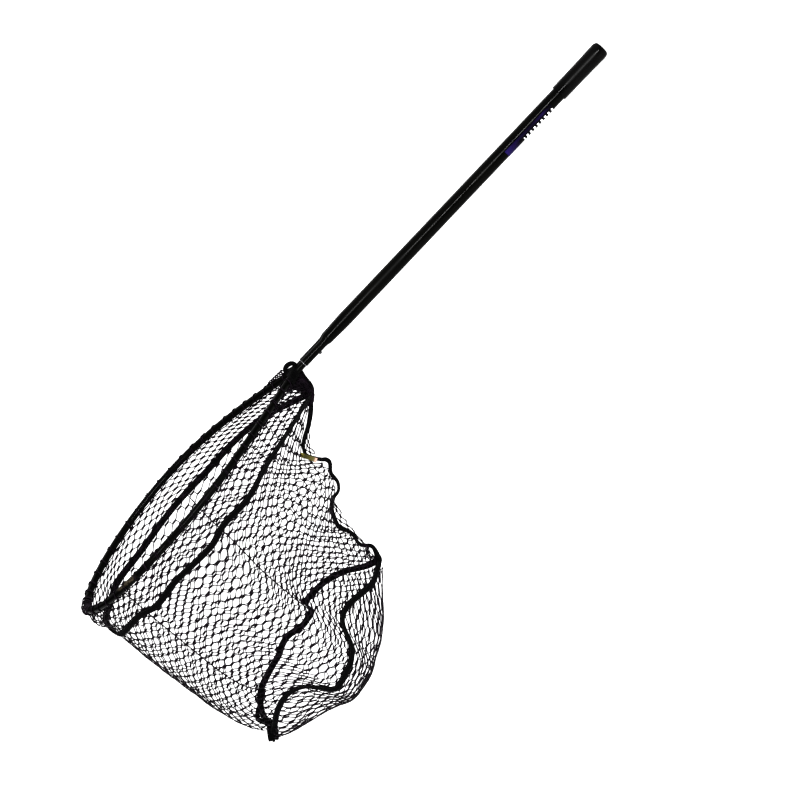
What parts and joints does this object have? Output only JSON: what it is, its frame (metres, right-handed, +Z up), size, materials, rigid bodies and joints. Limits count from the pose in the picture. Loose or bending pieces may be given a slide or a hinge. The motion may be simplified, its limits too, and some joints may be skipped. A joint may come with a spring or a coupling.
{
  "type": "landing net",
  "caption": "Hand-held landing net: tube handle with a flattened neck, detachable bent-tube hoop held by a snap button, and a deep knotless net bag with taped seams.",
  "frame": {"origin": "middle of the hand grip, on the handle tube's axis", "axes": "+X along the handle towards its butt, so the hoop lies towards -X; +Z up, away from the hanging bag; +Y to the far side"},
  "size_m": [1.3239, 0.4414, 0.4917],
  "materials": {
    "handle_black": "glossy black anodised",
    "hoop_black": "black anodised",
    "grip_vinyl": "glossy black dipped vinyl",
    "plug_plastic": "black moulded plastic",
    "decal_blue": "blank blue-violet film",
    "button_steel": "bright steel",
    "netting_black": "black rubber-coated knotless netting",
    "tape_black": "black woven binding tape",
    "thread_black": "black lacing cord",
    "label_olive": "blank olive label"
  },
  "bodies": {
    "handle": {"handle_tube": "handle_black", "handle_grip": "grip_vinyl", "butt_plug": "plug_plastic", "handle_decal": "decal_blue"},
    "hoop": {"hoop_tube": "hoop_black", "button_spring": "button_steel", "hoop_sleeve": "netting_black", "upper_net_near": "netting_black", "upper_net_far": "netting_black", "side_net_tip": "netting_black", "side_net_near": "netting_black", "side_net_far_front": "netting_black", "side_net_far_rear": "netting_black", "bottom_net": "netting_black", "upper_binding_tape": "tape_black", "lower_binding_tape": "tape_black", "lower_tape_fold": "tape_black", "front_wall_seam": "thread_black", "middle_wall_seam": "thread_black", "rear_seam_tape": "tape_black", "sewn_label": "label_olive", "neck_tie": "tape_black", "tie_loop": "tape_black", "gathered_corner": "tape_black"},
    "button": {"snap_button": "button_steel"}
  },
  "joints": [
    {"name": "hoop_release", "type": "slide", "parent": "handle", "child": "hoop", "axis": [-1, 0, 0], "range_m": [0, 0.06]},
    {"name": "button_press", "type": "slide", "parent": "hoop", "child": "button", "axis": [0, 0, 1], "range_m": [0, 0.0046], "stiffness_N_per_m": 1500, "deforming": ["button_spring"]}
  ]
}
